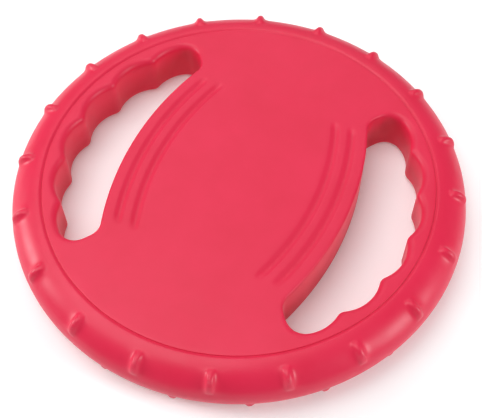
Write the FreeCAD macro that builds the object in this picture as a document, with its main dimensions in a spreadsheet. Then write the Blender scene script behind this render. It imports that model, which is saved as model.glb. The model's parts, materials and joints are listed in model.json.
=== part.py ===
"""Flying ring: a foam core inside two rubber faces and a finned rubber rim.

The ring lies flat on the XY plane, its axis on +Z and its lowest point at z = 0. Both hand openings
lie on the X axis. Every piece is modelled about the ring's middle plane, and all are then lifted by
half of the ring's height. Lengths are in millimetres, angles in degrees.
"""
import FreeCAD, Part
import math
import os
import Sketcher

Vector = FreeCAD.Vector
Rotation = FreeCAD.Rotation
Placement = FreeCAD.Placement
Z_AXIS = Vector(0, 0, 1)

SIZES = (
    ("rim_diameter", 220.0, "outer diameter, without the fins"),
    ("plate_thickness", 24.2, "over both faces"),
    ("rim_rise", 0.5, "how far the crown of the rim stands above the plate"),
    ("rim_width", 16.1, "from the edge of the plate out to the equator of the rim"),
    ("rim_roll", 15.7, "from the crown of the rim out to its equator"),
    ("skin_thickness", 2.2, "rubber of each face"),
    ("seam_depth", 0.7, "how far the seam lies below the plate"),
    ("seam_floor", 0.6, "flat floor of the seam, outside the plate's edge"),
    ("seam_flank", 1.8, "width of the slope from the seam up to the rim"),
    ("plate_edge_round", 0.4, "rounding of the plate's edge"),
    ("flank_round", 1.4, "rounding where that slope meets the rim"),
    ("tyre_wall", 2.6, "rubber of the rim at its equator"),
    ("lip_reach", 5.0, "how far the rim's lips reach in under the faces"),
    ("lip_thickness", 1.8, "rubber of those lips"),
    ("grip_bridge", 5.5, "plate left between the finger hollows and the seam"),
    ("grip_opening", 32.5, "from the middle of the inner edge out to the finger hollows"),
    ("grip_edge_radius", 152.0, "curve of the inner edge of each opening"),
    ("finger_pitch", 26.2, "from one finger hollow to the next, along the arc"),
    ("finger_radius", 19.5, "curve of each finger hollow"),
    ("ridge_round", 4.5, "rounding of the ridges between the fingers"),
    ("grip_end_reach", 12.4, "from the last finger hollow to the end, along the arc"),
    ("outer_corner", 9.0, "corner radius at the outer ends of an opening"),
    ("inner_corner", 8.0, "corner radius at the inner ends of an opening"),
    ("grip_edge_round", 2.0, "rounding along the edge of each opening"),
    ("grip_wall", 3.2, "rubber lining of the openings"),
    ("tongue_inset", 1.0, "from an opening to the tongue that joins the two linings"),
    ("tongue_width", 1.2, "thickness of that tongue"),
    ("tongue_height", 2.0, "height of that tongue"),
    ("bond_gap", 0.1, "room for adhesive round the tongue"),
    ("groove_offset", 7.7, "from the inner edge of an opening to the first grip groove"),
    ("groove_spacing", 8.2, "from the first grip groove to the second"),
    ("groove_ball", 4.0, "radius of the grooves' round section"),
    ("groove_depth", 1.0, "depth of the grooves"),
    ("groove_half_length", 47.0, "from the middle of a groove to its end"),
    ("fin_count", 20.0, "fins in each of the two rows"),
    ("fin_slope", 53.0, "angle above the level at which the fins point outwards"),
    ("fin_height", 2.6, "how far a fin stands out of the rim"),
    ("fin_radius", 6.3, "curve of a fin's outer edge"),
    ("fin_width", 4.0, "thickness of a fin"),
)
FINGERS = (-2.5, -1.5, -0.5, 0.5, 1.5, 2.5)  # places of the six finger hollows, in pitches
SIDES = {"right": 0.0, "left": 180.0}
CLEAR = 1.0  # how far a cutting tool runs past what it cuts
TOUCH = 0.01  # two places closer than this are the same place
ANGLE_TOUCH = 0.1  # the same for the angles of two places
ALONG_Z = 0.99  # a unit vector with at least this much along Z is taken to be parallel to it
CAVITY_SHARE = 0.8  # the hollow rim keeps less than this share of the solid one

doc = FreeCAD.newDocument("FlyingRing")
sheet = doc.addObject("Spreadsheet::Sheet", "Sizes")
for row, (alias, start_value, meaning) in enumerate(SIZES, start=1):
    sheet.set("A%d" % row, meaning)
    sheet.set("B%d" % row, str(start_value))
    sheet.setAlias("B%d" % row, alias)
doc.recompute()


class Length:
    """A number together with the formula that gives it from the sheet."""

    def __init__(self, number, formula):
        self.number = number
        self.formula = formula

    def joined(self, other, sign, number):
        formula = other.formula if isinstance(other, Length) else repr(float(other))
        return Length(number, "(%s %s %s)" % (self.formula, sign, formula))

    def __float__(self):
        return self.number

    def __add__(self, other):
        return self.joined(other, "+", self.number + float(other))

    def __sub__(self, other):
        return self.joined(other, "-", self.number - float(other))

    def __mul__(self, other):
        return self.joined(other, "*", self.number * float(other))

    def __truediv__(self, other):
        return self.joined(other, "/", self.number / float(other))

    def __neg__(self):
        return self * -1.0


def size(name):
    return Length(float(sheet.get(name)), "Sizes." + name)


def arc_angle(length, radius):
    """The angle, in degrees, that a length covers along an arc."""
    return length / radius * 180.0 / math.pi


def cosine(angle):
    return Length(math.cos(math.radians(float(angle))), "cos(%s * 1deg)" % angle.formula)


def sine(angle):
    return Length(math.sin(math.radians(float(angle))), "sin(%s * 1deg)" % angle.formula)


# Places that several pieces share, about the middle plane.
rim_radius = size("rim_diameter") / 2
plate_radius = rim_radius - size("rim_width")
lip_radius = plate_radius - size("lip_reach")
plate_top = size("plate_thickness") / 2
skin_under = plate_top - size("skin_thickness")
lip_under = skin_under - size("lip_thickness")
seam_level = plate_top - size("seam_depth")
# The rim's section is close to a half ellipse: one arc over its crown runs into one round its nose.
crown_level = plate_top + size("rim_rise")
crown_place = rim_radius - size("rim_roll")
nose_radius = crown_level * crown_level / size("rim_roll")
nose_place = rim_radius - nose_radius
nose_reach = size("rim_roll") - nose_radius
crown_radius = (nose_reach * nose_reach + crown_level * crown_level - nose_radius * nose_radius) / (
    (crown_level - nose_radius) * 2.0)
crown_centre = crown_level - crown_radius
hollow_radius = plate_radius - size("grip_bridge")
finger_centre = hollow_radius - size("finger_radius")
pitch_angle = arc_angle(size("finger_pitch"), hollow_radius)
end_angle = pitch_angle * FINGERS[-1] + arc_angle(size("grip_end_reach"), hollow_radius)
edge_middle = hollow_radius - size("grip_opening")
edge_centre = edge_middle - size("grip_edge_radius")
ZERO = Length(0.0, "0")


def finished(name, feature):
    feature.Label = name
    return feature


# ---------------------------------------------------------------- sketches of sections
def origin_feature(body, role):
    return next(item for item in body.Origin.OriginFeatures if item.Role == role)


def section_sketch(body, name, turn=0.0):
    """A sketch whose x is the distance from the axis and y the height, turned about the axis."""
    sketch = body.newObject("Sketcher::SketchObject", name)
    sketch.AttachmentSupport = [(origin_feature(body, "XZ_Plane"), "")]
    sketch.MapMode = "FlatFace"
    sketch.AttachmentOffset = Placement(Vector(), Rotation(Vector(0, 1, 0), turn))
    return sketch


def dimension(sketch, kind, place, length):
    """A sketch dimension that is tied to the sheet."""
    index = sketch.addConstraint(Sketcher.Constraint(kind, *place, float(length)))
    sketch.setExpression("Constraints[%d]" % index, length.formula)


def locate(sketch, geometry, end, across, height):
    """Fixes an end of a line or arc from the origin; None leaves that way free."""
    if across is not None:
        dimension(sketch, "DistanceX", (-1, 1, geometry, end), across)
    if height is not None:
        dimension(sketch, "DistanceY", (-1, 1, geometry, end), height)


def rounded_section(sketch, corners, inset):
    """A closed section, the same above and below, that ends outwards in the rim's own curve.

    corners lists the corners above the middle plane from the inside out. The last of them lies on
    the curve over the crown, so one of its two places is None. inset moves the curve inwards.
    """
    crown, nose = crown_radius - inset, nose_radius - inset
    across, height = corners[-1]
    if height is None:
        last = Vector(float(across), float(crown_centre) + math.sqrt(
            float(crown) ** 2 - (float(across) - float(crown_place)) ** 2), 0)
    else:
        last = Vector(float(crown_place) + math.sqrt(
            float(crown) ** 2 - (float(height) - float(crown_centre)) ** 2), float(height), 0)
    points = [Vector(float(x), float(y), 0) for x, y in corners[:-1]] + [last]
    meeting = math.atan2(-float(crown_centre), float(nose_place) - float(crown_place))
    middle = Vector(float(nose_place), 0, 0)
    nose_arc = sketch.addGeometry(
        Part.ArcOfCircle(Part.Circle(middle, Z_AXIS, float(nose)), -meeting, meeting), False)
    dimension(sketch, "Radius", (nose_arc,), nose)
    dimension(sketch, "DistanceX", (-1, 1, nose_arc, 3), nose_place)
    sketch.addConstraint(Sketcher.Constraint("PointOnObject", nose_arc, 3, -1))
    inner_lines = []
    for sign in (1.0, -1.0):
        hub = Vector(float(crown_place), sign * float(crown_centre), 0)
        end = math.atan2(last.y - float(crown_centre), last.x - float(crown_place))
        turns = (meeting, end) if sign > 0 else (-end, -meeting)
        crown_arc = sketch.addGeometry(
            Part.ArcOfCircle(Part.Circle(hub, Z_AXIS, float(crown)), *turns), False)
        near, far = (1, 2) if sign > 0 else (2, 1)
        sketch.addConstraint(Sketcher.Constraint("Tangent", nose_arc, far, crown_arc, near))
        dimension(sketch, "DistanceX", (-1, 1, crown_arc, 3), crown_place)
        dimension(sketch, "Radius", (crown_arc,), crown)
        locate(sketch, crown_arc, far, across, None if height is None else height * sign)
        lines = []
        for start, stop in zip(points, points[1:]):
            ends = [Vector(point.x, sign * point.y, 0) for point in (start, stop)]
            lines.append(sketch.addGeometry(Part.LineSegment(*ends), False))
        for first, second in zip(lines, lines[1:]):
            sketch.addConstraint(Sketcher.Constraint("Coincident", first, 2, second, 1))
        sketch.addConstraint(Sketcher.Constraint("Coincident", lines[-1], 2, crown_arc, far))
        for line, (x, y) in zip(lines, corners):
            locate(sketch, line, 1, x, y * sign)
        inner_lines.append(lines[0])
    closing = [Vector(points[0].x, points[0].y, 0), Vector(points[0].x, -points[0].y, 0)]
    back = sketch.addGeometry(Part.LineSegment(*closing), False)
    sketch.addConstraint(Sketcher.Constraint("Coincident", back, 1, inner_lines[0], 1))
    sketch.addConstraint(Sketcher.Constraint("Coincident", back, 2, inner_lines[1], 1))


def ring_edges(shape, across, height):
    """Names of the circular edges about the axis that pass through a place in the section."""
    names = []
    for number, edge in enumerate(shape.Edges, start=1):
        point = edge.Vertexes[0].Point
        round_edge = isinstance(edge.Curve, Part.Circle) and abs(edge.Curve.Axis.z) > ALONG_Z
        gap = math.hypot(math.hypot(point.x, point.y) - across, abs(point.z) - height)
        if round_edge and gap < TOUCH:
            names.append("Edge%d" % number)
    return names


# ---------------------------------------------------------------- rim
def add_fins(body, name, turn, sign):
    """One row of fins: rounded blades that stand on the shoulder of the rim."""
    reach = crown_radius + size("fin_height") - size("fin_radius")
    across = crown_place + reach * cosine(size("fin_slope"))
    height = (crown_centre + reach * sine(size("fin_slope"))) * sign
    sketch = section_sketch(body, name + "_outline", turn)
    circle = Part.Circle(Vector(float(across), float(height), 0), Z_AXIS, float(size("fin_radius")))
    outline = sketch.addGeometry(circle, False)
    dimension(sketch, "Radius", (outline,), size("fin_radius"))
    dimension(sketch, "DistanceX", (-1, 1, outline, 3), across)
    dimension(sketch, "DistanceY", (-1, 1, outline, 3), height)
    fin = body.newObject("PartDesign::Pad", name + "_fin")
    fin.Profile = sketch
    fin.SideType = "Symmetric"
    fin.setExpression("Length", size("fin_width").formula)
    doc.recompute()
    row_of_fins = body.newObject("PartDesign::PolarPattern", name + "_row")
    row_of_fins.Originals = [fin]
    row_of_fins.Axis = (origin_feature(body, "Z_Axis"), [""])
    row_of_fins.Angle = 360.0
    row_of_fins.setExpression("Occurrences", size("fin_count").formula)
    body.Tip = row_of_fins
    doc.recompute()


def build_rim():
    """The rim: a hollow ring, open inwards, whose lips lie under the faces and let the linings pass."""
    body = doc.addObject("PartDesign::Body", "Rim")
    outside = section_sketch(body, "rim_section")
    floor_end = plate_radius + size("seam_floor")
    flank_end = floor_end + size("seam_flank")
    corners = [(lip_radius, skin_under), (plate_radius, skin_under), (plate_radius, seam_level),
               (floor_end, seam_level), (flank_end, None)]
    rounded_section(outside, corners, ZERO)
    ring = body.newObject("PartDesign::Revolution", "rim_ring")
    ring.Profile = outside
    ring.ReferenceAxis = (origin_feature(body, "Z_Axis"), [""])
    ring.Angle = 360.0
    doc.recompute()

    flank_top = float(crown_centre) + math.sqrt(
        float(crown_radius) ** 2 - (float(flank_end) - float(crown_place)) ** 2)
    softened = body.newObject("PartDesign::Fillet", "rim_flank_round")
    softened.Base = (ring, ring_edges(ring.Shape, float(flank_end), flank_top))
    softened.setExpression("Radius", size("flank_round").formula)
    doc.recompute()

    add_fins(body, "upper", 0.0, 1.0)
    add_fins(body, "lower", 180.0 / float(size("fin_count")), -1.0)

    inside = section_sketch(body, "cavity_section")
    rounded_section(inside, [(lip_radius - CLEAR, lip_under), (None, lip_under)], size("tyre_wall"))
    solid_volume = body.Shape.Volume
    hollow = body.newObject("PartDesign::Groove", "rim_cavity")
    hollow.Profile = inside
    hollow.ReferenceAxis = (origin_feature(body, "Z_Axis"), [""])
    hollow.Angle = 360.0
    body.Tip = hollow
    doc.recompute()
    assert body.Shape.Volume < CAVITY_SHARE * solid_volume, "the rim's cavity cut nothing"
    rooms = [crescent("rim_room_" + side, side, -plate_top, plate_top, size("grip_wall")) for side in SIDES]
    return finished("rim_bumper", cut("rim_with_rooms", body, joined("rim_rooms", rooms)))


# ---------------------------------------------------------------- hand openings
def cylinder(name, radius, low, high, middle=(0.0, 0.0), sweep=None, turn=0.0):
    """A cylinder or, with a sweep, a wedge of one that starts at the given turn."""
    feature = doc.addObject("Part::Cylinder", name)
    feature.setExpression("Radius", radius.formula)
    feature.setExpression("Height", (high - low).formula)
    if sweep is not None:
        feature.setExpression("Angle", sweep.formula)
    feature.Placement = Placement(Vector(middle[0], middle[1], float(low)), Rotation(Z_AXIS, turn))
    return feature


def joined(name, features):
    feature = doc.addObject("Part::MultiFuse", name)
    feature.Shapes = features
    feature.Refine = True
    return feature


def cut(name, base, tool):
    feature = doc.addObject("Part::Cut", name)
    feature.Base = base
    feature.Tool = tool
    feature.Refine = True
    return feature


def common(name, base, tool):
    feature = doc.addObject("Part::Common", name)
    feature.Base = base
    feature.Tool = tool
    feature.Refine = True
    return feature


def rounded(name, base, choose):
    """Rounds the edges for which choose gives a radius."""
    doc.recompute()
    chosen = []
    for number, edge in enumerate(base.Shape.Edges, start=1):
        radius = choose(edge)
        if radius is not None:
            chosen.append((number, float(radius), float(radius)))
    assert chosen, "%s found no edges" % name
    feature = doc.addObject("Part::Fillet", name)
    feature.Base = base
    feature.Edges = chosen
    doc.recompute()
    return feature


def upright(edge):
    """Whether an edge runs along Z."""
    return isinstance(edge.Curve, Part.Line) and abs(edge.Curve.Direction.z) > ALONG_Z


def corner_radius(grow):
    """Corner roundings of an opening that has been grown evenly by some wall."""
    last_ridge = float(pitch_angle) * (FINGERS[-1] - 0.5)

    def choose(edge):
        if not upright(edge):
            return None
        point = edge.Vertexes[0].Point
        if abs(math.degrees(math.atan2(point.y, abs(point.x)))) < last_ridge + ANGLE_TOUCH:
            return size("ridge_round")
        from_edge_circle = math.hypot(abs(point.x) - float(edge_centre), point.y)
        on_inner_edge = abs(from_edge_circle - float(size("grip_edge_radius") - grow)) < TOUCH
        return (size("inner_corner") if on_inner_edge else size("outer_corner")) + grow
    return choose


def edge_cylinder(name, side, low, high, grow):
    """The plate side of an opening: all that lies within the opening's inner edge."""
    turn = math.radians(SIDES[side])
    middle = (float(edge_centre) * math.cos(turn), float(edge_centre) * math.sin(turn))
    return cylinder(name, size("grip_edge_radius") - grow, low, high, middle, turn=SIDES[side] + 180.0)


def wedge(name, side, radius, low, high, grow):
    """A wedge of disc as long as an opening, grown at both ends."""
    half = end_angle + arc_angle(grow, edge_middle)
    return cylinder(name, radius, low, high, sweep=half * 2.0, turn=SIDES[side] - float(half))


def crescent(name, side, low, high, grow):
    """A plain crescent round an opening, without the finger hollows."""
    blank = wedge(name + "_wedge", side, hollow_radius + grow, low, high, grow)
    plate_side = edge_cylinder(name + "_edge", side, low, high, grow)
    return rounded(name, cut(name + "_blank", blank, plate_side), corner_radius(grow))


def hand_opening(name, side, low, high):
    """The opening itself: finger hollows outside, one long curve inside, rounded ends."""
    pieces = [wedge(name + "_palm", side, finger_centre, low, high, ZERO)]
    for number, step in enumerate(FINGERS, start=1):
        turn = SIDES[side] + step * float(pitch_angle)
        middle = (float(finger_centre) * math.cos(math.radians(turn)),
                  float(finger_centre) * math.sin(math.radians(turn)))
        pieces.append(cylinder("%s_finger_%d" % (name, number), size("finger_radius"), low, high,
                               middle, turn=turn + 180.0))
    hollows = joined(name + "_hollows", pieces)
    ends = wedge(name + "_ends", side, rim_radius, low, high, ZERO)
    trimmed = common(name + "_trimmed", hollows, ends)
    plate_side = edge_cylinder(name + "_edge", side, low, high, ZERO)
    return rounded(name, cut(name + "_blank", trimmed, plate_side), corner_radius(ZERO))


def tongue(name, side, low, high, room):
    """The thin wall that locks the two linings together, grown all round by some room."""
    outer = crescent(name + "_outer", side, low, high, size("tongue_inset") + size("tongue_width") + room)
    inner = crescent(name + "_inner", side, low - CLEAR, high + CLEAR, size("tongue_inset") - room)
    return cut(name, outer, inner)


# ---------------------------------------------------------------- core
def build_core():
    """The foam core: a disc that fills the faces and the rim, with room for both linings."""
    body = doc.addObject("PartDesign::Body", "Core")
    outline = section_sketch(body, "core_section")
    corners = [(ZERO, skin_under), (lip_radius, skin_under), (lip_radius, lip_under), (None, lip_under)]
    rounded_section(outline, corners, size("tyre_wall"))
    disc = body.newObject("PartDesign::Revolution", "core_disc")
    disc.Profile = outline
    disc.ReferenceAxis = (origin_feature(body, "Z_Axis"), [""])
    disc.Angle = 360.0
    doc.recompute()
    rooms = [crescent("core_room_" + side, side, -plate_top, plate_top, size("grip_wall")) for side in SIDES]
    return finished("foam_core", cut("core_with_rooms", body, joined("core_rooms", rooms)))


# ---------------------------------------------------------------- faces
def grip_groove(name, side, offset, level):
    """A shallow round-bottomed groove beside an opening, with ball ends."""
    path = size("grip_edge_radius") - offset
    half = math.degrees(math.asin(float(size("groove_half_length")) / float(path)))
    bend = doc.addObject("Part::Torus", name + "_bend")
    bend.setExpression("Radius1", path.formula)
    bend.setExpression("Radius2", size("groove_ball").formula)
    bend.setExpression("Angle3", "2 * asin(%s / %s)" % (size("groove_half_length").formula, path.formula))
    turn = math.radians(SIDES[side])
    middle = Vector(float(edge_centre) * math.cos(turn), float(edge_centre) * math.sin(turn), level)
    bend.Placement = Placement(middle, Rotation(Z_AXIS, SIDES[side] - half))
    ends = []
    for number, way in enumerate((-half, half), start=1):
        angle = math.radians(SIDES[side] + way)
        ball = doc.addObject("Part::Sphere", "%s_ball_%d" % (name, number))
        ball.setExpression("Radius", size("groove_ball").formula)
        ball.Placement = Placement(middle + Vector(math.cos(angle), math.sin(angle), 0) * float(path), Rotation())
        ends.append(ball)
    return joined(name, [bend] + ends)


def build_face(name, up):
    """A face and its half of both linings. up is 1 for the upper face and -1 for the lower."""
    def span(first, second):
        """Two levels above the middle plane as a low and a high one on this face's side."""
        return (first, second) if up > 0 else (-second, -first)

    skin = cylinder(name + "_skin", plate_radius, *span(skin_under, plate_top))
    blanks = [skin]
    for side in SIDES:
        lining = crescent("%s_lining_%s" % (name, side), side, *span(ZERO, plate_top), size("grip_wall"))
        blanks.append(lining)
        if up < 0:
            blanks.append(tongue("%s_tongue_%s" % (name, side), side, ZERO - CLEAR, size("tongue_height"), ZERO))
    openings = [hand_opening("%s_opening_%s" % (name, side), side, -plate_top * 2.0, plate_top * 2.0)
                for side in SIDES]
    opened = cut(name + "_opened", joined(name + "_blank", blanks), joined(name + "_openings", openings))

    def outer_edge(edge):
        """Roundings along the outside: small round the plate, larger round the openings."""
        level = up * float(plate_top)
        if any(abs(vertex.Point.z - level) > TOUCH for vertex in edge.Vertexes):
            return None
        point = edge.Vertexes[0].Point
        at_rim = math.hypot(point.x, point.y) > float(plate_radius) - TOUCH
        return size("plate_edge_round") if at_rim else size("grip_edge_round")

    softened = rounded(name + "_softened", opened, outer_edge)
    cuts = []
    level = up * float(plate_top + size("groove_ball") - size("groove_depth"))
    for side in SIDES:
        for number, offset in enumerate((size("groove_offset"), size("groove_offset") + size("groove_spacing"))):
            cuts.append(grip_groove("%s_groove_%s_%d" % (name, side, number + 1), side, offset, level))
        if up > 0:
            top = size("tongue_height") + size("bond_gap")
            cuts.append(tongue("%s_slot_%s" % (name, side), side, ZERO - CLEAR, top, size("bond_gap")))
    return finished(name, cut(name + "_finished", softened, joined(name + "_cuts", cuts)))


# ---------------------------------------------------------------- build, check and write
pieces = [build_core(), build_face("upper_face", 1), build_face("lower_face", -1), build_rim()]
doc.recompute()
half_height = max(piece.Shape.optimalBoundingBox(False, False).ZMax for piece in pieces)
for piece in pieces:
    piece.Placement = Placement(Vector(0, 0, half_height), Rotation())
doc.recompute()

for item in doc.Objects:
    for fault in ("Invalid", "Error"):
        if fault in item.State:
            raise RuntimeError("%s is %s" % (item.Name, item.State))
for piece in pieces:
    shape = piece.Shape
    if shape.isNull() or not shape.isValid() or len(shape.Solids) != 1:
        raise RuntimeError("%s is not one valid solid" % piece.Label)

os.makedirs("parts", exist_ok=True)
for piece in pieces:
    piece.Shape.exportStep("parts/%s.step" % piece.Label)
    box = piece.Shape.BoundBox
    print("%-12s %8.1f cm3  x %.1f..%.1f  y %.1f..%.1f  z %.2f..%.2f" % (
        piece.Label, piece.Shape.Volume / 1000, box.XMin, box.XMax, box.YMin, box.YMax, box.ZMin, box.ZMax))
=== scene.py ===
"""A soft rubber flying ring, flat on a pale floor.

Outlines and sections are in millimetres about the ring's middle plane, with the hand openings on the
X axis. Meshes are in metres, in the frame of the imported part.
"""
import json
import math

import bmesh
import bpy
import numpy as np
from mathutils import Matrix, Vector, noise
from mathutils.geometry import delaunay_2d_cdt


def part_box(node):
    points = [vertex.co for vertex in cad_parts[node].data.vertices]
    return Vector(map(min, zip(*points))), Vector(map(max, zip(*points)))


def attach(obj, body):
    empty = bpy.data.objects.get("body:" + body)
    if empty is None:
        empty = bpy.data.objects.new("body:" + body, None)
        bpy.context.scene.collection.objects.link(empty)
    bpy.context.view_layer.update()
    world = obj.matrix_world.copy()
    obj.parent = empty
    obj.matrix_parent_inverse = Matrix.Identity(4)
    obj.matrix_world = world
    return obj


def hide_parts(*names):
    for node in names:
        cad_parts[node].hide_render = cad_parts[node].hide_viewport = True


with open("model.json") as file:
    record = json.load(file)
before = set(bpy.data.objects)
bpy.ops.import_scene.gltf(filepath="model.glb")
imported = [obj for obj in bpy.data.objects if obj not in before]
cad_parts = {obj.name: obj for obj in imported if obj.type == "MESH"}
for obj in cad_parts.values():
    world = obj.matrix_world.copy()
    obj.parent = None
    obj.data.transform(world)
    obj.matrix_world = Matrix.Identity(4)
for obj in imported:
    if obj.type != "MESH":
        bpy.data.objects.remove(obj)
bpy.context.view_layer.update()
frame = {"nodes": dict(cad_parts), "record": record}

MM = 0.001
FLAT_FACES = {mount["name"]: mount["pos_m"][2] / MM for mount in frame["record"]["mounts"]}
MIDDLE = (FLAT_FACES["top"] + FLAT_FACES["underside"]) / 2
PLATE_TOP = (FLAT_FACES["top"] - FLAT_FACES["underside"]) / 2
PLATE_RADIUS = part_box("upper_face")[1].x / MM

# rim, as in part.py but with a finer seam and a rim that stands a little lower
RIM_WIDTH = 16.1
RIM_ROLL = 15.7
RIM_RISE = 0.38
SKIN = 2.2
SEAM_DEPTH = 0.35
SEAM_FLOOR = 0.3
SEAM_FLANK = 1.0
TYRE_WALL = 2.6
LIP_EDGE_ROUND = 0.3
LIP_STEP_ROUND = 0.2
SEAM_ROUND = 0.35
FLANK_ROUND = 1.2
LANDING_ANGLE = 0.09  # radians over the crown that the flank's rounding may take up
LIP_REACH = 5.0
LIP_THICKNESS = 1.8
RIM_RADIUS = PLATE_RADIUS + RIM_WIDTH
LIP_RADIUS = PLATE_RADIUS - LIP_REACH
SKIN_UNDER = PLATE_TOP - SKIN
LIP_UNDER = SKIN_UNDER - LIP_THICKNESS
SEAM_LEVEL = PLATE_TOP - SEAM_DEPTH
CROWN_LEVEL = PLATE_TOP + RIM_RISE
CROWN_PLACE = RIM_RADIUS - RIM_ROLL
NOSE_RADIUS = CROWN_LEVEL ** 2 / RIM_ROLL
NOSE_PLACE = RIM_RADIUS - NOSE_RADIUS
CROWN_RADIUS = ((RIM_ROLL - NOSE_RADIUS) ** 2 + CROWN_LEVEL ** 2 - NOSE_RADIUS ** 2) / (
    2 * (CROWN_LEVEL - NOSE_RADIUS))
CROWN_CENTRE = CROWN_LEVEL - CROWN_RADIUS
MEETING = math.atan2(-CROWN_CENTRE, NOSE_PLACE - CROWN_PLACE)

# fins
FIN_COUNT = 20
FIN_SLOPE = math.radians(53.0)
FIN_HEIGHT = 2.6
FIN_CURVE = 6.3
FIN_HALF = 1.85  # half of the width at half of the height
FIN_FLARE = 3.6  # a higher power gives steeper flanks and a smaller foot
FIN_FOOT = 0.9  # height over which the ends of a fin run out
# paleness painted on the fin crests: partly wear, partly a painted highlight
FIN_WEAR_AND_HIGHLIGHT = 0.75
# spokes of the mesh over one side of a fin, in half widths, and between two fins
FIN_SPOKES = (0.0, 0.45, 0.72, 0.86, 0.96, 1.06, 1.18, 1.38, 1.7, 2.3)
SPOKES_BETWEEN = 3

# hand openings
BRIDGE = 5.5
OPENING = 32.5
EDGE_RADIUS = 152.0
FINGER_PITCH = 26.2
FINGER_RADIUS = 19.5
RIDGE_ROUND = 4.5
END_REACH = 12.4
OUTER_CORNER = 9.0
INNER_CORNER = 8.0
GRIP_WALL = 3.2
TONGUE_INSET = 1.0
TONGUE_WIDTH = 1.2
TONGUE_HEIGHT = 2.0
BOND_GAP = 0.1
# where a key starts and stops outside the opening, and its height, which is below 0 for one that stands out
TONGUE = (TONGUE_INSET, TONGUE_INSET + TONGUE_WIDTH, -TONGUE_HEIGHT)
SLOT = (TONGUE[0] - BOND_GAP, TONGUE[1] + BOND_GAP, TONGUE_HEIGHT + BOND_GAP)
FINGERS = (-2.5, -1.5, -0.5, 0.5, 1.5, 2.5)
HOLLOW_RADIUS = PLATE_RADIUS - BRIDGE
PITCH = FINGER_PITCH / HOLLOW_RADIUS
EDGE_MIDDLE = HOLLOW_RADIUS - OPENING
EDGE_CENTRE = np.array([EDGE_MIDDLE - EDGE_RADIUS, 0.0])
END_ANGLE = PITCH * FINGERS[-1] + END_REACH / HOLLOW_RADIUS
FINGER_EDGE_ROUND = 3.2
INNER_EDGE_ROUND = 1.2
ROUND_CHANGE = (3.0, 15.0)  # distances from the inner edge between which the rounding grows
SEAM_EDGE_ROUND = 0.35  # rounding of the plate's edge
EDGE_WEAR = 0.45

# grip grooves
GROOVE_OFFSETS = (7.7, 15.9)
GROOVE_HALF_LENGTH = 47.0
GROOVE_HALF_WIDTH = 2.8
GROOVE_DEPTH = 1.0
GROOVE_FADE = 7.0  # length over which a groove runs out at its ends
GROOVE_MARGIN = 0.7  # room between the mesh points of the grooves and those of the plate
GROOVE_ROW_GAP = 0.42
GROOVE_POINT_GAP = 0.9

# foam core
FOAM_VOXEL = 1.2
FOAM_WAVE = 9.0
FOAM_PORE = 2.5
FOAM_SHRINK = 0.12
FOAM_UNEVEN = 0.6  # share of the shrinkage that varies over the skin
FOAM_SMOOTHING = 6
WELD = 0.01  # distance within which the points of the CAD mesh are joined

# how finely the meshes follow the outlines and sections
OUTLINE_SPACING = 0.8
CRESCENT_STEPS = 36
CIRCLE_STEPS = 720
CORNER_STEPS = 4
RIM_SPACING = 0.8
CAVITY_SPACING = 2.4
PLATE_SPACING = 1.9
PLATE_CLEARANCE = 1.0
HIDDEN_SPACING = 6.0  # for the side of a face that lies on the core
HIDDEN_CLEARANCE = 3.0
WALL_SHARES = (0.0, 0.25, 0.5, 0.75, 1.0)
GRIP_EDGE_ANGLES = np.radians((15, 30, 45, 60, 75, 90))
SEAM_EDGE_ANGLES = np.radians((90, 67, 45, 22, 0))
EDGE_BORDERS = (0.5, 1.2)  # rings on the flat plate just outside the rounded edge of an opening
SHEET_TOUCH = 1e-6  # distance within which a sheet's points count as one
SHARP_ANGLE = math.radians(50)

SIDES = (0.0, math.pi)


# ---------------------------------------------------------------- small tools
def heading(angle):
    """The unit vectors at some angles, as rows."""
    return np.stack([np.cos(angle), np.sin(angle)], -1)


def smooth(value):
    """0 below 0, 1 above 1 and a soft S between."""
    value = np.clip(value, 0.0, 1.0)
    return value * value * (3 - 2 * value)


def turned(points, angle):
    """Points in the plane, turned about the ring's axis."""
    across, along = heading(angle)
    return points @ np.array([[across, along], [-along, across]])


# ---------------------------------------------------------------- outlines of the openings
def outline(circles, steps_along):
    """Points and outward normals round a closed chain of circles that run smoothly into each other.

    Each circle is (centre, radius): a radius above 0 bulges outwards, one below 0 inwards. Where a
    straight run follows a circle, the run's outward normal is the third entry. steps_along gives the
    number of steps for an arc or run of some length.
    """
    normals = []
    for (centre, radius, *run), (next_centre, next_radius, *_) in zip(circles, circles[1:] + circles[:1]):
        normals.append(run[0] if run else (next_centre - centre) / (radius - next_radius))
    points, outward = [], []
    for index, (centre, radius, *run) in enumerate(circles):
        first, last = (math.atan2(normal[1], normal[0]) for normal in (normals[index - 1], normals[index]))
        sweep = (last - first) % math.tau if radius > 0 else -((first - last) % math.tau)
        steps = steps_along(abs(radius * sweep))
        directions = heading(first + sweep * np.arange(steps) / steps)
        points.append(centre + radius * directions)
        outward.append(directions)
        if run:
            start = centre + radius * run[0]
            next_centre, next_radius = circles[(index + 1) % len(circles)][:2]
            stop = next_centre + next_radius * run[0]
            steps = steps_along(float(np.linalg.norm(stop - start)))
            points.append(start + (stop - start) * (np.arange(steps) / steps)[:, None])
            outward.append(np.tile(run[0], (steps, 1)))
    return np.concatenate(points), np.concatenate(outward)


def end_corners(palm_centre, palm_radius, grow):
    """Centres of an opening's outer and inner corners at its +Y end, and the normal of the end."""
    end = END_ANGLE + grow / EDGE_MIDDLE
    along = heading(end)
    inwards = np.array([along[1], -along[0]])

    def centre_at(circle_centre, distance, corner):
        gap = corner - circle_centre @ inwards
        return along * (circle_centre @ along + math.sqrt(distance ** 2 - gap ** 2)) + inwards * corner

    outer, inner = OUTER_CORNER + grow, INNER_CORNER + grow
    return (centre_at(palm_centre, palm_radius - outer, outer),
            centre_at(EDGE_CENTRE, EDGE_RADIUS - grow + inner, inner), -inwards)


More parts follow.
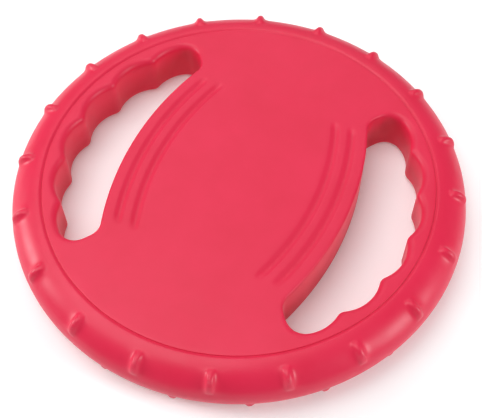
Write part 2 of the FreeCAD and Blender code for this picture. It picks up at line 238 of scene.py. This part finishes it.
def closed_opening(palm, grow):
    """The circles round an opening, from those of its outer side."""
    flip = np.array([1.0, -1.0])
    outer_centre, inner_centre, end_normal = end_corners(*palm[-1], grow)
    outer, inner = OUTER_CORNER + grow, INNER_CORNER + grow
    return palm + [
        (outer_centre, outer, end_normal),
        (inner_centre, inner),
        (EDGE_CENTRE, grow - EDGE_RADIUS),
        (inner_centre * flip, inner, end_normal * flip),
        (outer_centre * flip, outer),
    ]


def hand_opening():
    """The outline with its finger hollows and the rounded ridges between them."""
    reach = HOLLOW_RADIUS - FINGER_RADIUS
    spread = reach * math.sin(PITCH / 2)
    ridge = reach * math.cos(PITCH / 2) + math.sqrt((FINGER_RADIUS + RIDGE_ROUND) ** 2 - spread ** 2)
    palm = []
    for step in FINGERS:
        palm.append((heading(step * PITCH) * reach, FINGER_RADIUS))
        if step < FINGERS[-1]:
            palm.append((heading((step + 0.5) * PITCH) * ridge, -RIDGE_ROUND))
    return outline(closed_opening(palm, 0.0), lambda length: max(3, round(length / OUTLINE_SPACING)))


def crescent(grow):
    """The plain crescent round an opening, grown by some wall."""
    palm = [(np.zeros(2), HOLLOW_RADIUS + grow)]
    return outline(closed_opening(palm, grow), lambda length: CRESCENT_STEPS)[0]


# ---------------------------------------------------------------- closed meshes from rings
def reached(triangles, walls, starts):
    """The triangles that can be reached from some of them without crossing a wall."""
    walls = {tuple(sorted(wall)) for wall in walls}
    beside, sides = {}, []
    for index, (a, b, c) in enumerate(triangles.tolist()):
        own = [tuple(sorted(side)) for side in ((a, b), (b, c), (c, a))]
        sides.append([side for side in own if side not in walls])
        for side in sides[-1]:
            beside.setdefault(side, []).append(index)
    found, front = set(starts), list(starts)
    while front:
        for side in sides[front.pop()]:
            for index in beside[side]:
                if index not in found:
                    found.add(index)
                    front.append(index)
    return sorted(found)


class Shell:
    """A mesh put together from rings of points, bands between rings and flat sheets."""

    def __init__(self, up=1.0):
        self.up = up
        self.points = []
        self.wear_and_highlight = []
        self.faces = []

    def add(self, flat, height, wear_and_highlight=0.0):
        """Adds points at some height over the middle plane and gives their numbers."""
        first = len(self.points)
        heights = np.broadcast_to(height, len(flat)) * self.up + MIDDLE
        self.points.extend(np.column_stack([flat, heights]) * MM)
        self.wear_and_highlight.extend(np.broadcast_to(wear_and_highlight, len(flat)))
        return np.arange(first, first + len(flat))

    def band(self, first, second):
        """Quads between two rings of as many points."""
        after_first, after_second = np.roll(first, -1), np.roll(second, -1)
        self.faces.extend(np.stack([first, after_first, after_second, second], 1).tolist())

    def bands(self, rings):
        """Bands between each ring and the next."""
        for first, second in zip(rings, rings[1:]):
            self.band(first, second)

    def flat(self, numbers):
        """The places of some points in the plane."""
        return np.array([self.points[number] for number in numbers])[:, :2] / MM

    def sheet(self, outer, holes, inside, height=None):
        """Triangles between an outer ring, some rings inside it and loose points on the way."""
        rings = [outer] + holes
        edges, owner, count = [], [], 0
        for number, ring in enumerate(rings):
            edges += [(count + i, count + (i + 1) % len(ring)) for i in range(len(ring))]
            owner += [number] * len(ring)
            count += len(ring)
        numbers = np.concatenate(rings)
        if len(inside):
            numbers = np.concatenate([numbers, self.add(inside, height)])
            owner += [-1] * len(inside)
        flat = self.flat(numbers)
        found = delaunay_2d_cdt([Vector(point) for point in flat], edges, [], 0, SHEET_TOUCH)
        triangles = np.array([[found[3][corner][0] for corner in face] for face in found[2]])
        # a triangle with a loose point, or with corners on two rings, lies in the sheet, and so does all
        # that can be reached from it
        owner = np.array(owner)[triangles]
        between = (owner != owner[:, :1]).any(1) | (owner[:, 0] < 0)
        keep = reached(triangles, edges, np.flatnonzero(between).tolist())
        self.faces.extend(numbers[triangles[keep]].tolist())

    def build(self, name, material):
        """Makes the mesh, with its wear and painted crest highlight as an attribute, and gives the piece.
        """
        mesh = bpy.data.meshes.new(name)
        mesh.from_pydata([tuple(point) for point in self.points], [], self.faces)
        wear_and_highlight = mesh.attributes.new("wear_and_highlight", "FLOAT", "POINT")
        wear_and_highlight.data.foreach_set("value", np.array(self.wear_and_highlight, np.float32))
        return finished(mesh, name, material)


def finished(mesh, name, material):
    """Turns the faces outwards, smooths them, links the piece and has it ride on the ring's body."""
    bm = bmesh.new()
    bm.from_mesh(mesh)
    bmesh.ops.recalc_face_normals(bm, faces=bm.faces)
    if bm.calc_volume(signed=True) < 0:
        bmesh.ops.reverse_faces(bm, faces=bm.faces)
    bm.to_mesh(mesh)
    bm.free()
    mesh.shade_smooth()
    mesh.set_sharp_from_angle(angle=SHARP_ANGLE)
    mesh.materials.append(material)
    piece = bpy.data.objects.new(name, mesh)
    bpy.context.scene.collection.objects.link(piece)
    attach(piece, "root")
    return piece


def contains(ring, points):
    """Which points lie within a closed ring."""
    inside = np.zeros(len(points), bool)
    for (x1, y1), (x2, y2) in zip(ring, np.roll(ring, -1, axis=0)):
        crosses = (y1 > points[:, 1]) != (y2 > points[:, 1])
        if crosses.any():
            at = x1 + (points[:, 1] - y1) * (x2 - x1) / (y2 - y1 if y2 != y1 else 1.0)
            inside ^= crosses & (points[:, 0] < at)
    return inside


def circle(radius):
    """The points of a ring about the axis."""
    return heading(np.arange(CIRCLE_STEPS) * math.tau / CIRCLE_STEPS) * radius


def scattered(radius, spacing, rings, clearance, banned=None):
    """A triangular lattice of points inside a radius that keeps clear of some rings."""
    rows = int(radius / (spacing * math.sqrt(0.75))) + 1
    columns = int(radius / spacing) + 1
    lattice = []
    for row in range(-rows, rows + 1):
        across = (np.arange(-columns, columns + 1) + 0.5 * (row % 2)) * spacing
        lattice.append(np.stack([across, np.full(len(across), row * spacing * math.sqrt(0.75))], 1))
    points = np.concatenate(lattice)
    points = points[np.hypot(points[:, 0], points[:, 1]) < radius - clearance]
    for ring in rings:
        points = points[~contains(ring, points)]
        gaps = np.array([np.hypot(*(ring - point).T).min() for point in points])
        points = points[gaps > clearance]
    if banned is not None:
        points = points[~banned(points)]
    return points


# ---------------------------------------------------------------- grooves in the plate
def groove_place(points, offset):
    """Distances from the line of a groove to points of the right half."""
    about = points - EDGE_CENTRE
    path = EDGE_RADIUS - offset
    half = math.asin(GROOVE_HALF_LENGTH / path)
    turn = np.arctan2(about[:, 1], about[:, 0])
    nearest = heading(np.clip(turn, -half, half)) * path
    return np.hypot(*(about - nearest).T)


def groove_depth(points):
    """How deep both grooves beside both openings are at some points."""
    right = points * np.where(points[:, :1] < 0, -1.0, 1.0)
    depth = np.zeros(len(points))
    for offset in GROOVE_OFFSETS:
        to_end = GROOVE_HALF_LENGTH + GROOVE_HALF_WIDTH - np.abs(right[:, 1])
        fade = smooth(1 - groove_place(right, offset) / GROOVE_HALF_WIDTH) * smooth(to_end / GROOVE_FADE)
        depth = np.maximum(depth, GROOVE_DEPTH * fade)
    return depth


def groove_band(points):
    """Whether points lie in or close to the strip that holds an opening's grooves."""
    about = points * np.where(points[:, :1] < 0, -1.0, 1.0) - EDGE_CENTRE
    far = np.hypot(*about.T)
    lengthwise = np.abs(about[:, 1]) < GROOVE_HALF_LENGTH + GROOVE_HALF_WIDTH + GROOVE_MARGIN
    low = EDGE_RADIUS - GROOVE_OFFSETS[-1] - GROOVE_HALF_WIDTH - GROOVE_MARGIN
    high = EDGE_RADIUS - GROOVE_OFFSETS[0] + GROOVE_HALF_WIDTH + GROOVE_MARGIN
    return lengthwise & (far > low) & (far < high)


def groove_points():
    """Close rows of points along the grooves of both sides."""
    half_length = GROOVE_HALF_LENGTH + GROOVE_HALF_WIDTH
    first = EDGE_RADIUS - GROOVE_OFFSETS[-1] - GROOVE_HALF_WIDTH
    last = EDGE_RADIUS - GROOVE_OFFSETS[0] + GROOVE_HALF_WIDTH
    rows = np.arange(first, last + GROOVE_ROW_GAP / 2, GROOVE_ROW_GAP)
    steps = np.linspace(-1.0, 1.0, int(2 * half_length / GROOVE_POINT_GAP))
    points = []
    for number, row in enumerate(rows):
        shift = GROOVE_POINT_GAP / 2 * (number % 2) / row
        points.append(EDGE_CENTRE + heading(steps * math.asin(half_length / row) + shift) * row)
    right = np.concatenate(points)
    return np.concatenate([right, -right])


# ---------------------------------------------------------------- pieces
def build_face(name, up, key, material):
    """A face, its half of the linings, and the key that joins them to the other half.

    The key is the tongue or the slot, and up is 1 for the upper face and -1 for the lower one.
    """
    shell = Shell(up)
    outline_points, outward = hand_opening()
    from_edge = np.hypot(*(outline_points - EDGE_CENTRE).T) - EDGE_RADIUS
    change = smooth((from_edge - ROUND_CHANGE[0]) / (ROUND_CHANGE[1] - ROUND_CHANGE[0]))
    rounding = INNER_EDGE_ROUND + (FINGER_EDGE_ROUND - INNER_EDGE_ROUND) * change
    plate_rings, skin_rings = [], []
    for side in SIDES:
        def ring(grow, height, wear_and_highlight=0.0):
            grown = outline_points + outward * np.reshape(grow, (-1, 1))
            return shell.add(turned(grown, side), height, wear_and_highlight)

        wall = [ring(0.0, (PLATE_TOP - rounding) * share) for share in WALL_SHARES]
        for angle in GRIP_EDGE_ANGLES:
            lifted = PLATE_TOP - rounding * (1 - math.sin(angle))
            wall.append(ring(rounding * (1 - math.cos(angle)), lifted, EDGE_WEAR * math.sin(2 * angle)))
        wall += [ring(rounding + extra, PLATE_TOP) for extra in EDGE_BORDERS]
        shell.bands(wall)
        plate_rings.append(wall[-1])
        # the key, on the end of the lining at the middle plane
        start, stop, level = key
        section = ((start, 0.0), (start, level), (stop, level), (stop, 0.0))
        steps = [shell.add(turned(crescent(grow), side), height) for grow, height in section]
        shell.bands(steps)
        outside = [shell.add(turned(crescent(GRIP_WALL), side), height) for height in (0.0, SKIN_UNDER)]
        shell.bands(outside)
        shell.sheet(steps[0], [wall[0]], [])
        shell.sheet(outside[0], [steps[-1]], [])
        skin_rings.append(outside[1])
    edge = []
    for angle in SEAM_EDGE_ANGLES:
        radius = PLATE_RADIUS - SEAM_EDGE_ROUND * (1 - math.cos(angle))
        height = PLATE_TOP - SEAM_EDGE_ROUND * (1 - math.sin(angle))
        edge.append(shell.add(circle(radius), height, EDGE_WEAR * math.sin(2 * angle)))
    edge.append(shell.add(circle(PLATE_RADIUS), SKIN_UNDER))
    shell.bands(edge)
    flats = [shell.flat(ring) for ring in plate_rings]
    plate_reach = PLATE_RADIUS - SEAM_EDGE_ROUND
    lattice = scattered(plate_reach, PLATE_SPACING, flats, PLATE_CLEARANCE, groove_band)
    plate = np.concatenate([lattice, groove_points()])
    shell.sheet(edge[0], plate_rings, plate, PLATE_TOP - groove_depth(plate))
    flats = [shell.flat(ring) for ring in skin_rings]
    hidden = scattered(PLATE_RADIUS, HIDDEN_SPACING, flats, HIDDEN_CLEARANCE)
    shell.sheet(edge[-1], skin_rings, hidden, SKIN_UNDER)
    piece = shell.build(name + "_rubber", material)
    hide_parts(name)


def rounded_corners(points, radii):
    """A line through points whose corners are arcs of the given radii."""
    points = [np.array(point, float) for point in points]
    line = [points[0]]
    for before, corner, after, radius in zip(points, points[1:], points[2:], radii):
        back, on = (side / np.linalg.norm(side) for side in (before - corner, after - corner))
        half = math.acos(float(back @ on)) / 2
        middle = (back + on) / np.linalg.norm(back + on)
        centre = corner + middle * radius / math.sin(half)
        start, stop = (corner + side * radius / math.tan(half) - centre for side in (back, on))
        first = math.atan2(start[1], start[0])
        sweep = (math.atan2(stop[1], stop[0]) - first + math.pi) % math.tau - math.pi
        line.extend(centre + radius * heading(first + sweep * np.arange(CORNER_STEPS + 1) / CORNER_STEPS))
    return np.array(line + [points[-1]])


def on_crown(angle, inset=0.0):
    """Points on the crown's arc, or inside it by an inset."""
    return np.array([CROWN_PLACE, CROWN_CENTRE]) + heading(angle) * (CROWN_RADIUS - inset)


def rim_curve(start, inset, spacing):
    """Points and normals from an angle over the crown down to the middle plane."""
    crown_steps = int((start - MEETING) * CROWN_RADIUS / spacing)
    nose_steps = int(MEETING * NOSE_RADIUS / spacing)
    crown_angles = np.linspace(start, MEETING, crown_steps, endpoint=False)
    nose_angles = np.linspace(MEETING, 0.0, nose_steps + 1)
    nose = np.array([NOSE_PLACE, 0.0]) + heading(nose_angles) * (NOSE_RADIUS - inset)
    points = np.concatenate([on_crown(crown_angles, inset), nose])
    return points, heading(np.concatenate([crown_angles, nose_angles]))


def rim_section():
    """The rim's closed section with the normals where fins may stand."""
    floor_end = PLATE_RADIUS + SEAM_FLOOR
    flank = math.acos((floor_end + SEAM_FLANK - CROWN_PLACE) / CROWN_RADIUS)
    landing = flank - LANDING_ANGLE
    corners = [(LIP_RADIUS, LIP_UNDER), (LIP_RADIUS, SKIN_UNDER), (PLATE_RADIUS, SKIN_UNDER),
               (PLATE_RADIUS, SEAM_LEVEL), (floor_end, SEAM_LEVEL), on_crown(flank), on_crown(landing)]
    shoulder = rounded_corners(
        corners, [LIP_EDGE_ROUND, LIP_STEP_ROUND, LIP_STEP_ROUND, SEAM_ROUND, FLANK_ROUND])
    outside, normals = rim_curve(landing, 0.0, RIM_SPACING)
    cavity_start = math.asin((LIP_UNDER - CROWN_CENTRE) / (CROWN_RADIUS - TYRE_WALL))
    inside = rim_curve(cavity_start, TYRE_WALL, CAVITY_SPACING)[0][::-1]
    upper = np.concatenate([inside, shoulder[:-1], outside])
    upper_normals = np.zeros_like(upper)
    upper_normals[-len(outside):] = normals
    mirrored = np.array([1.0, -1.0])
    section = np.concatenate([upper, (upper * mirrored)[-2:0:-1]])
    return section, np.concatenate([upper_normals, (upper_normals * mirrored)[-2:0:-1]])


def fin_rise(section, normals, level):
    """How far a fin stands out of the section, along its normals."""
    reach = CROWN_RADIUS + FIN_HEIGHT - FIN_CURVE
    middle = np.array([CROWN_PLACE + reach * math.cos(FIN_SLOPE),
                       level * (CROWN_CENTRE + reach * math.sin(FIN_SLOPE))])
    from_middle = section - middle
    along = (from_middle * normals).sum(1)
    room = FIN_CURVE ** 2 - (from_middle ** 2).sum(1) + along ** 2
    rise = np.where(room > 0, np.sqrt(np.maximum(room, 0)) - along, 0.0)
    rise[(normals == 0).all(1) | (section[:, 1] * level <= 0)] = 0.0
    rise = np.maximum(rise, 0.0)
    return rise * smooth(rise / FIN_FOOT)


def rim_angles():
    """Angles round the rim, close together across each fin."""
    step = math.pi / FIN_COUNT
    across = np.array(FIN_SPOKES) * FIN_HALF / RIM_RADIUS
    between = np.linspace(across[-1], step - across[-1], SPOKES_BETWEEN + 2)[1:-1]
    cell = np.concatenate([-across[:0:-1], across, between])
    return np.concatenate([cell + number * step for number in range(2 * FIN_COUNT)])


def build_rim(material):
    """The rim with its two rows of fins, as one closed mesh of revolution that the fins push out."""
    section, normals = rim_section()
    angles = rim_angles()
    rise = np.zeros((len(angles), len(section)))
    for level, first in ((1.0, 0.0), (-1.0, math.pi / FIN_COUNT)):
        gap = math.tau / FIN_COUNT
        offset = (angles - first + gap / 2) % gap - gap / 2
        bell = 1 / (1 + (np.abs(offset)[:, None] * section[:, 0] / FIN_HALF) ** FIN_FLARE)
        rise += bell * fin_rise(section, normals, level)
    across = section[:, 0] + rise * normals[:, 0]
    height = section[:, 1] + rise * normals[:, 1]
    shell = Shell()
    spokes = []
    for angle, spoke, heights, fin in zip(angles, across, height, rise):
        # paler towards each fin's crest: wear, and a painted highlight on the crest
        spokes.append(shell.add(heading(angle) * spoke[:, None], heights, FIN_WEAR_AND_HIGHLIGHT * fin / FIN_HEIGHT))
    for first, second in zip(spokes, spokes[1:] + spokes[:1]):
        shell.band(first, second)
    piece = shell.build("rim_bumper_rubber", material)
    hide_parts("rim_bumper")


def build_core(material):
    """The foam core: a moulded block whose edges came out soft and whose skin is a little uneven."""
    source = bmesh.new()
    source.from_mesh(frame["nodes"]["foam_core"].data)
    bmesh.ops.remove_doubles(source, verts=source.verts, dist=WELD * MM)
    block = bpy.data.meshes.new("foam_block")
    source.to_mesh(block)
    source.free()
    mould = bpy.data.objects.new("foam_mould", block)
    bpy.context.scene.collection.objects.link(mould)
    remesh = mould.modifiers.new("skin", "REMESH")
    remesh.mode = "VOXEL"
    remesh.voxel_size = FOAM_VOXEL * MM
    soften = mould.modifiers.new("soft_edges", "SMOOTH")
    soften.factor = 0.5
    soften.iterations = FOAM_SMOOTHING
    mesh = bpy.data.meshes.new_from_object(mould.evaluated_get(bpy.context.evaluated_depsgraph_get()))
    bpy.data.objects.remove(mould)
    moved = []
    for vertex in mesh.vertices:
        uneven = noise.noise(vertex.co / (FOAM_WAVE * MM)) + 0.5 * noise.noise(vertex.co / (FOAM_PORE * MM))
        moved.extend(vertex.co - vertex.normal * (FOAM_SHRINK * (1.0 + FOAM_UNEVEN * uneven) * MM))
    mesh.vertices.foreach_set("co", moved)
    mesh.materials.clear()
    piece = finished(mesh, "foam_core_block", material)
    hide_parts("foam_core")


# ---------------------------------------------------------------- materials
# Scales are in repeats per metre, depths in metres.
CLOUD_RANGE = (0.3, 0.7)  # where most values of a noise lie
RED = (0.75, 0.019, 0.070)
DEEP_RED = (0.71, 0.016, 0.060)
FACE_ROUGHNESS = 0.44
RIM_ROUGHNESS = 0.38
RUBBER_SPECULAR = 0.4
CLOUD_SCALE = 38.0
SCUFF_AND_HIGHLIGHT_SCALE = 420.0
SCUFF_AND_HIGHLIGHT_STRENGTH = 0.55
SCUFF_AND_HIGHLIGHT_START = 0.55  # wear value at which the pale scuffs, which are partly a painted highlight, begin
GLOSS_SCALE = 90.0
MOULD_WAVE, MOULD_WAVE_DEPTH = 60.0, 0.00012
GRAIN, GRAIN_DEPTH = 2600.0, 0.000014
FOAM_PALE = (0.86, 0.83, 0.75)
FOAM_DULL = (0.78, 0.74, 0.65)
# colour painted into the cell pits: painted shade in the recesses
FOAM_PIT_SHADE = (0.62, 0.57, 0.48)
CELL_SCALE, CELL_DEPTH = 900.0, 0.00015
FOAM_CLOUD_SCALE = 45.0
FOAM_GLOSS_SCALE = 300.0
FOAM_DENT, FOAM_DENT_DEPTH = 120.0, 0.0002


class Nodes:
    """A material's nodes, made and linked by short calls."""

    def __init__(self, name):
        self.material = bpy.data.materials.new(name)
        self.material.use_nodes = True
        self.tree = self.material.node_tree
        self.shader = self.tree.nodes["Principled BSDF"]
        self.place = self.make("ShaderNodeTexCoord").outputs["Object"]

    def make(self, kind, **settings):
        node = self.tree.nodes.new(kind)
        for key, value in settings.items():
            setattr(node, key, value)
        return node

    def link(self, source, target):
        self.tree.links.new(source, target)

    def noise(self, scale, detail, roughness):
        """Clouds of values between 0 and 1."""
        node = self.make("ShaderNodeTexNoise")
        node.inputs["Scale"].default_value = scale
        node.inputs["Detail"].default_value = detail
        node.inputs["Roughness"].default_value = roughness
        self.link(self.place, node.inputs["Vector"])
        return node.outputs["Fac"]

    def spread(self, value, low, high, to_low, to_high):
        """Maps the values from low to high onto those from to_low to to_high, and clips the rest."""
        node = self.make("ShaderNodeMapRange", clamp=True)
        for key, number in (("From Min", low), ("From Max", high), ("To Min", to_low), ("To Max", to_high)):
            node.inputs[key].default_value = number
        self.link(value, node.inputs["Value"])
        return node.outputs["Result"]

    def mixed(self, factor, first, second):
        """Mixes two colours, each a socket or plain numbers."""
        node = self.make("ShaderNodeMix", data_type="RGBA")
        self.link(factor, node.inputs["Factor"])
        for index, colour in ((6, first), (7, second)):
            if isinstance(colour, bpy.types.NodeSocket):
                self.link(colour, node.inputs[index])
            else:
                node.inputs[index].default_value = (*colour, 1.0)
        return node.outputs[2]

    def product(self, first, second):
        node = self.make("ShaderNodeMath", operation="MULTIPLY")
        self.link(first, node.inputs[0])
        self.link(second, node.inputs[1])
        return node.outputs[0]

    def bump(self, heights):
        """Bumps on bumps, each a height socket with its depth in metres."""
        below = None
        for value, depth in heights:
            node = self.make("ShaderNodeBump")
            node.inputs["Strength"].default_value = 1.0
            node.inputs["Distance"].default_value = depth
            self.link(value, node.inputs["Height"])
            if below is not None:
                self.link(below, node.inputs["Normal"])
            below = node.outputs["Normal"]
        self.link(below, self.shader.inputs["Normal"])


def rubber(name, roughness):
    """Satin moulded rubber: a fine matt grain, cloudy colour, and pale scuffs where it gets rubbed, which
    on the fin crests are also a painted highlight.
    """
    nodes = Nodes(name)
    clouds = nodes.spread(nodes.noise(CLOUD_SCALE, 4.0, 0.6), *CLOUD_RANGE, 0.0, 1.0)
    base = nodes.mixed(clouds, RED, DEEP_RED)
    attribute = nodes.make("ShaderNodeAttribute", attribute_name="wear_and_highlight")
    # pale scuffs where the wear value is high; on the fin crests they also serve as a painted highlight
    scuff_and_highlight_patches = nodes.spread(nodes.noise(SCUFF_AND_HIGHLIGHT_SCALE, 5.0, 0.7), 0.42, 0.66, 0.0, SCUFF_AND_HIGHLIGHT_STRENGTH)
    scuffs_and_highlight = nodes.product(scuff_and_highlight_patches, nodes.spread(attribute.outputs["Fac"], SCUFF_AND_HIGHLIGHT_START, 1.0, 0.0, 1.0))
    pale_scuff_and_highlight = tuple(0.55 * channel + 0.22 for channel in RED)
    nodes.link(nodes.mixed(scuffs_and_highlight, base, pale_scuff_and_highlight), nodes.shader.inputs["Base Color"])
    patches = nodes.noise(GLOSS_SCALE, 5.0, 0.6)
    gloss = nodes.spread(patches, *CLOUD_RANGE, roughness - 0.04, roughness + 0.05)
    nodes.link(gloss, nodes.shader.inputs["Roughness"])
    nodes.bump([(nodes.noise(MOULD_WAVE, 2.0, 0.4), MOULD_WAVE_DEPTH),
                (nodes.noise(GRAIN, 2.0, 0.5), GRAIN_DEPTH)])
    nodes.shader.inputs["Specular IOR Level"].default_value = RUBBER_SPECULAR
    return nodes.material


def foam(name):
    """Closed-cell foam with its moulded skin: pale, matt, and pitted by small cells, with painted shade
    darkening the pits.
    """
    nodes = Nodes(name)
    cells = nodes.make("ShaderNodeTexVoronoi")
    cells.inputs["Scale"].default_value = CELL_SCALE
    nodes.link(nodes.place, cells.inputs["Vector"])
    pit_depth_and_shade = nodes.spread(cells.outputs["Distance"], 0.1, 0.6, 0.0, 1.0)
    clouds = nodes.spread(nodes.noise(FOAM_CLOUD_SCALE, 4.0, 0.6), *CLOUD_RANGE, 0.0, 1.0)
    base = nodes.mixed(clouds, FOAM_PALE, FOAM_DULL)
    # the pits are painted darker: painted shade
    nodes.link(nodes.mixed(pit_depth_and_shade, FOAM_PIT_SHADE, base), nodes.shader.inputs["Base Color"])
    gloss = nodes.spread(nodes.noise(FOAM_GLOSS_SCALE, 3.0, 0.5), *CLOUD_RANGE, 0.8, 0.95)
    nodes.link(gloss, nodes.shader.inputs["Roughness"])
    nodes.bump([(nodes.noise(FOAM_DENT, 3.0, 0.5), FOAM_DENT_DEPTH), (pit_depth_and_shade, CELL_DEPTH)])
    return nodes.material


# ---------------------------------------------------------------- room, lights, camera
FLOOR_WIDTH = 24.0
FLOOR_COLOUR = (0.90, 0.94, 0.94)
FLOOR_GLOW = 0.16
ROOM_LIGHT = 0.24
# name, azimuth and elevation in degrees, distance and size in metres, power in watts
LIGHTS = (
    ("overhead", -80.0, 72.0, 1.3, (1.0, 1.0), 9.5),
    ("left", -73.0, 23.0, 1.1, (0.3, 0.4), 5.5),
    ("right", 92.0, 24.0, 1.1, (0.3, 0.4), 5.5),
    ("back", 205.0, 42.0, 1.3, (1.0, 0.5), 2.0),
)
CAMERA_AZIMUTH, CAMERA_ELEVATION, CAMERA_ROLL = 25.385, 57.15, -1.12
CAMERA_LENS = 66.8
CAMERA_DISTANCE, CAMERA_RIGHT, CAMERA_UP = 0.4386, 0.00092, -0.01029


def build_floor():
    """A plain pale floor, with a faint glow that keeps it pale where the ring shades it."""
    half = FLOOR_WIDTH / 2
    corners = [(-half, -half, 0), (half, -half, 0), (half, half, 0), (-half, half, 0)]
    mesh = bpy.data.meshes.new("floor")
    mesh.from_pydata(corners, [], [(0, 1, 2, 3)])
    floor = bpy.data.objects.new("floor", mesh)
    bpy.context.scene.collection.objects.link(floor)
    nodes = Nodes("pale_floor")
    nodes.shader.inputs["Base Color"].default_value = (*FLOOR_COLOUR, 1.0)
    nodes.shader.inputs["Roughness"].default_value = 0.9
    nodes.shader.inputs["Specular IOR Level"].default_value = 0.1
    nodes.shader.inputs["Emission Color"].default_value = (1.0, 1.0, 1.0, 1.0)
    nodes.shader.inputs["Emission Strength"].default_value = FLOOR_GLOW
    mesh.materials.append(nodes.material)


def away(azimuth, elevation):
    turn, rise = math.radians(azimuth), math.radians(elevation)
    return Vector((math.sin(turn) * math.cos(rise), -math.cos(turn) * math.cos(rise), math.sin(rise)))


def area_light(name, azimuth, elevation, distance, size, power):
    """A softbox that faces the ring."""
    light = bpy.data.lights.new(name, "AREA")
    light.shape = "RECTANGLE"
    light.size, light.size_y = size
    light.energy = power
    lamp = bpy.data.objects.new(name, light)
    direction = away(azimuth, elevation)
    lamp.location = direction * distance
    lamp.rotation_euler = direction.to_track_quat("Z", "Y").to_euler()
    bpy.context.scene.collection.objects.link(lamp)


def build_lights():
    """A white room with softboxes."""
    world = bpy.data.worlds.new("studio")
    world.use_nodes = True
    background = world.node_tree.nodes["Background"]
    background.inputs["Color"].default_value = (1.0, 1.0, 1.0, 1.0)
    background.inputs["Strength"].default_value = ROOM_LIGHT
    bpy.context.scene.world = world
    for light in LIGHTS:
        area_light(*light)


def build_camera():
    """The camera looks down at the ring from its front right."""
    roll, turn = math.radians(CAMERA_ROLL), math.radians(CAMERA_AZIMUTH)
    back = away(CAMERA_AZIMUTH, CAMERA_ELEVATION)
    right = Vector((math.cos(turn), math.sin(turn), 0.0))
    up = back.cross(right)
    data = bpy.data.cameras.new("camera")
    data.lens = CAMERA_LENS
    data.sensor_width = 36.0
    camera = bpy.data.objects.new("camera", data)
    middle = Vector((0, 0, MIDDLE * MM))
    camera.location = middle + back * CAMERA_DISTANCE + right * CAMERA_RIGHT + up * CAMERA_UP
    rolled_right = right * math.cos(roll) + up * math.sin(roll)
    rolled_up = up * math.cos(roll) - right * math.sin(roll)
    camera.rotation_euler = Matrix((rolled_right, rolled_up, back)).transposed().to_euler()
    bpy.context.scene.collection.objects.link(camera)
    bpy.context.scene.camera = camera


build_camera()
build_floor()
build_lights()
face_rubber = rubber("face_rubber", FACE_ROUGHNESS)
rim_rubber = rubber("rim_rubber", RIM_ROUGHNESS)
build_face("upper_face", 1.0, SLOT, face_rubber)
build_face("lower_face", -1.0, TONGUE, face_rubber)
build_rim(rim_rubber)
build_core(foam("core_foam"))
bpy.context.scene.view_settings.view_transform = "Standard"
